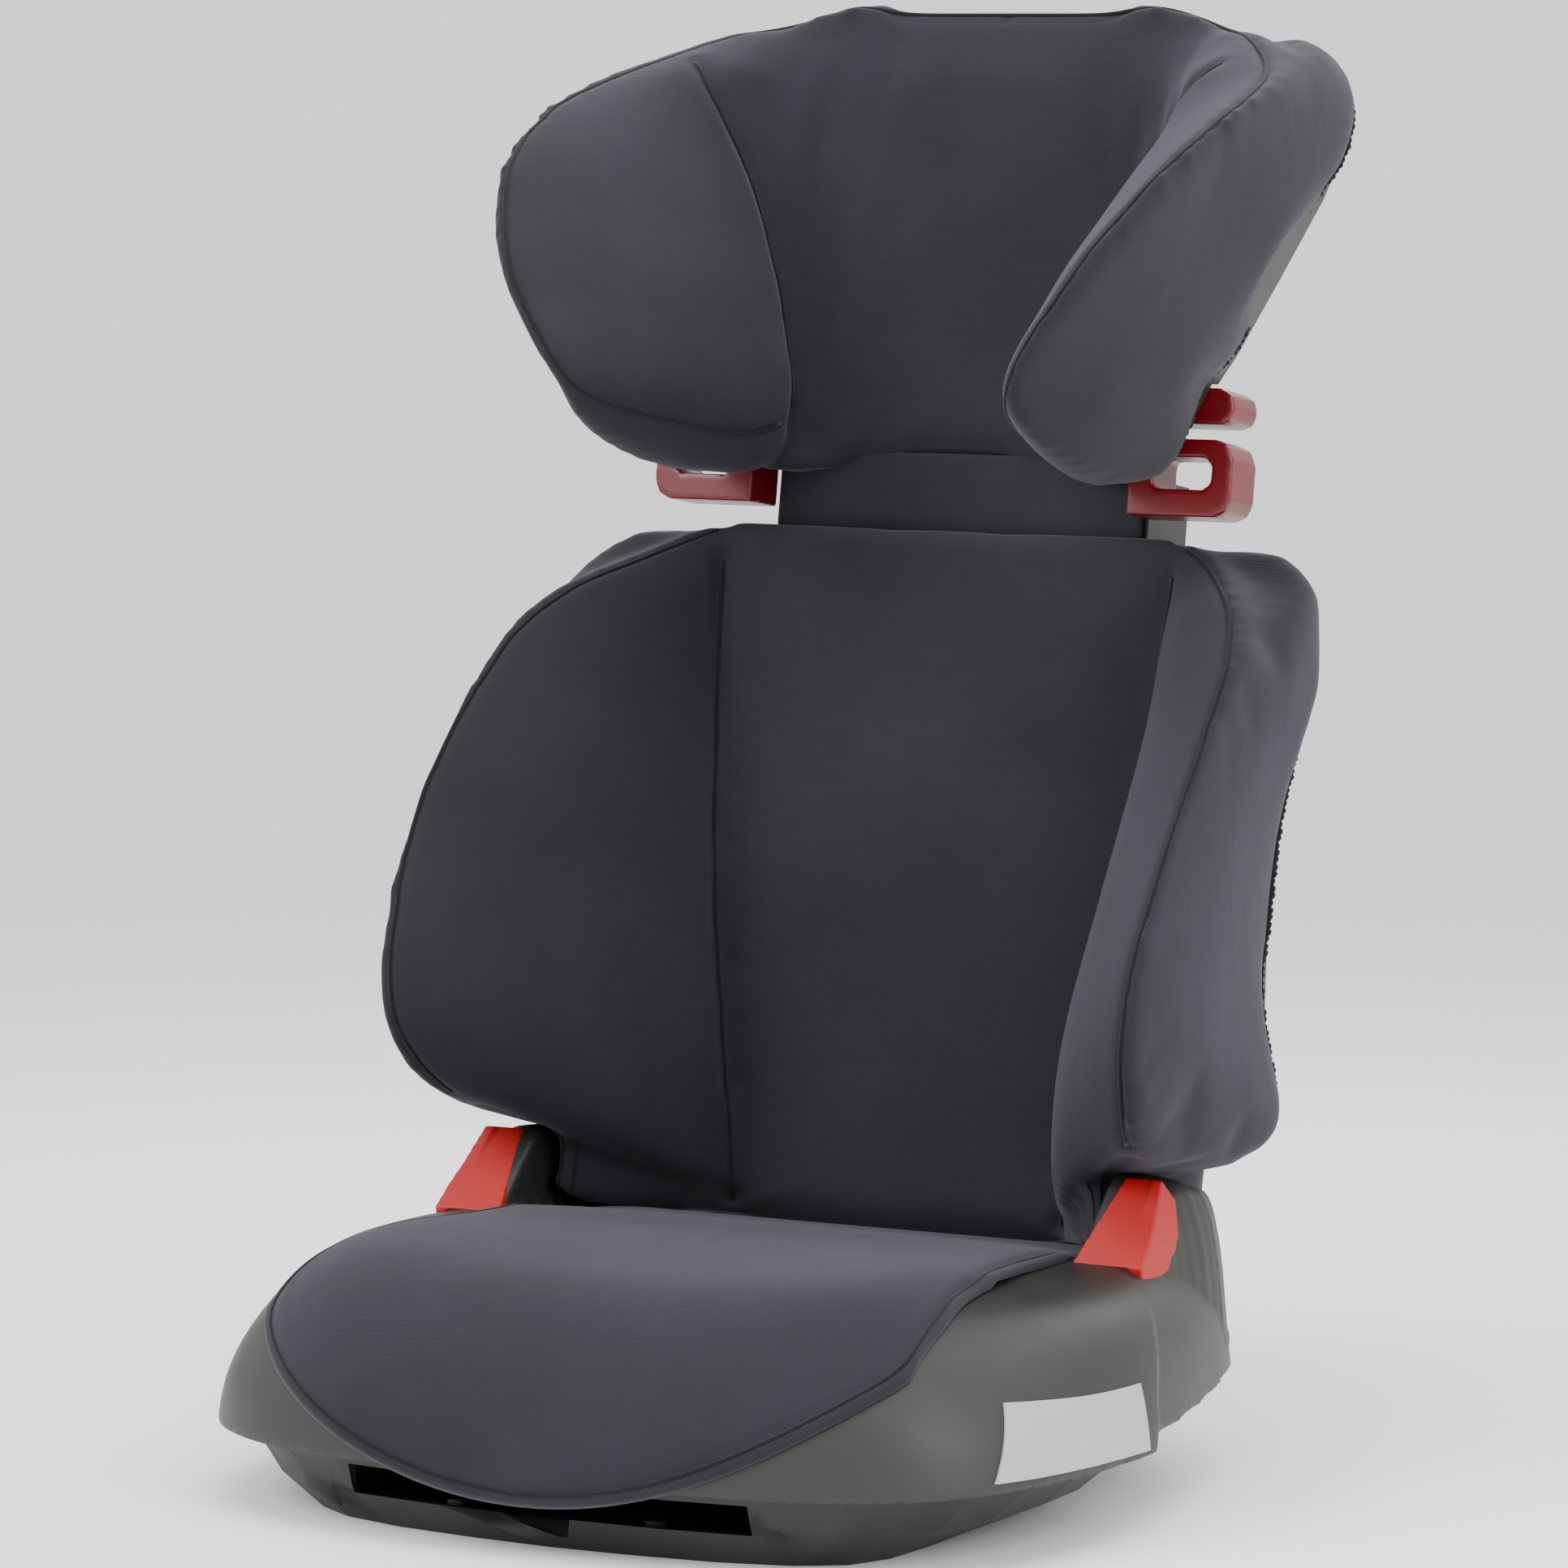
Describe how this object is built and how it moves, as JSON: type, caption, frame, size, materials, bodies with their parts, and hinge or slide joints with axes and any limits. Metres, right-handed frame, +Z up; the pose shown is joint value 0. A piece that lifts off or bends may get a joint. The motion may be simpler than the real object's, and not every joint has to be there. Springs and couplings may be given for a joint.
{
  "type": "booster seat",
  "caption": "High-back child booster seat with armrests, padded side wings, height-adjustable headrest and red belt guides.",
  "frame": {"origin": "middle of the flat underside of the base tray, where it rests on the car seat", "axes": "+Z up, the seat faces -Y, +X is to the sitter's left"},
  "size_m": [0.4308, 0.5178, 0.6665],
  "materials": {
    "fabric": "woven anthracite cover fabric",
    "foam": "soft padding",
    "grey_plastic": "fine textured",
    "dark_grey_plastic": "fine textured",
    "black_plastic": "matte",
    "bright_red": "satin",
    "dark_red": "glossy",
    "plate_grey": "blank",
    "steel": "zinc plated",
    "rubber": "matte"
  },
  "bodies": {
    "base": {"base_shell": "grey_plastic", "base_tray": "dark_grey_plastic", "seat_foam": "foam", "seat_cover": "fabric", "side_plate": "plate_grey", "lap_guide_left": "bright_red", "lap_guide_right": "bright_red", "hinge_axle": "steel", "axle_clip_left": "black_plastic", "axle_clip_right": "black_plastic", "tray_screw_1": "steel", "tray_screw_2": "steel", "tray_screw_3": "steel", "tray_screw_4": "steel", "foot_1": "rubber", "foot_2": "rubber", "foot_3": "rubber", "foot_4": "rubber"},
    "backrest": {"backrest_cover": "fabric", "backrest_shell": "grey_plastic", "backrest_foam_centre": "foam", "backrest_wing_foam_left": "foam", "backrest_wing_foam_right": "foam", "support_panel": "grey_plastic", "guide_rail_left": "black_plastic", "guide_rail_right": "black_plastic", "rail_screw_1": "steel", "rail_screw_2": "steel", "rail_screw_3": "steel", "rail_screw_4": "steel"},
    "headrest": {"headrest_cover": "fabric", "headrest_shell": "grey_plastic", "headrest_mast": "grey_plastic", "headrest_foam_centre": "foam", "headrest_wing_foam_left": "foam", "headrest_wing_foam_right": "foam", "shoulder_guide_left": "dark_red", "shoulder_guide_right": "dark_red", "plate_screw_1": "steel", "plate_screw_2": "steel", "plate_screw_3": "steel", "plate_screw_4": "steel"},
    "handle": {"adjuster_handle": "bright_red", "release_rod": "steel"},
    "bolt_left": {"lock_bolt_left": "black_plastic"},
    "bolt_right": {"lock_bolt_right": "black_plastic"}
  },
  "joints": [
    {"name": "backrest_recline", "type": "hinge", "parent": "base", "child": "backrest", "pos_m": [0, 0.169, 0.04], "axis": [-1, 0, 0], "range_deg": [0, 15]},
    {"name": "headrest_height", "type": "slide", "parent": "backrest", "child": "headrest", "axis": [0, 0.165, 0.9863], "range_m": [0, 0.15]},
    {"name": "handle_pull", "type": "slide", "parent": "headrest", "child": "handle", "axis": [0, 0.165, 0.9863], "range_m": [0, 0.01], "stiffness_N_per_m": 600},
    {"name": "bolt_left_slide", "type": "slide", "parent": "headrest", "child": "bolt_left", "axis": [-1, 0, 0], "range_m": [0, 0.005]},
    {"name": "bolt_right_slide", "type": "slide", "parent": "headrest", "child": "bolt_right", "axis": [1, 0, 0], "range_m": [0, 0.005]}
  ],
  "couplings": [
    {"joint": "bolt_left_slide", "follows": "handle_pull", "ratio": 0.5},
    {"joint": "bolt_right_slide", "follows": "handle_pull", "ratio": 0.5}
  ]
}
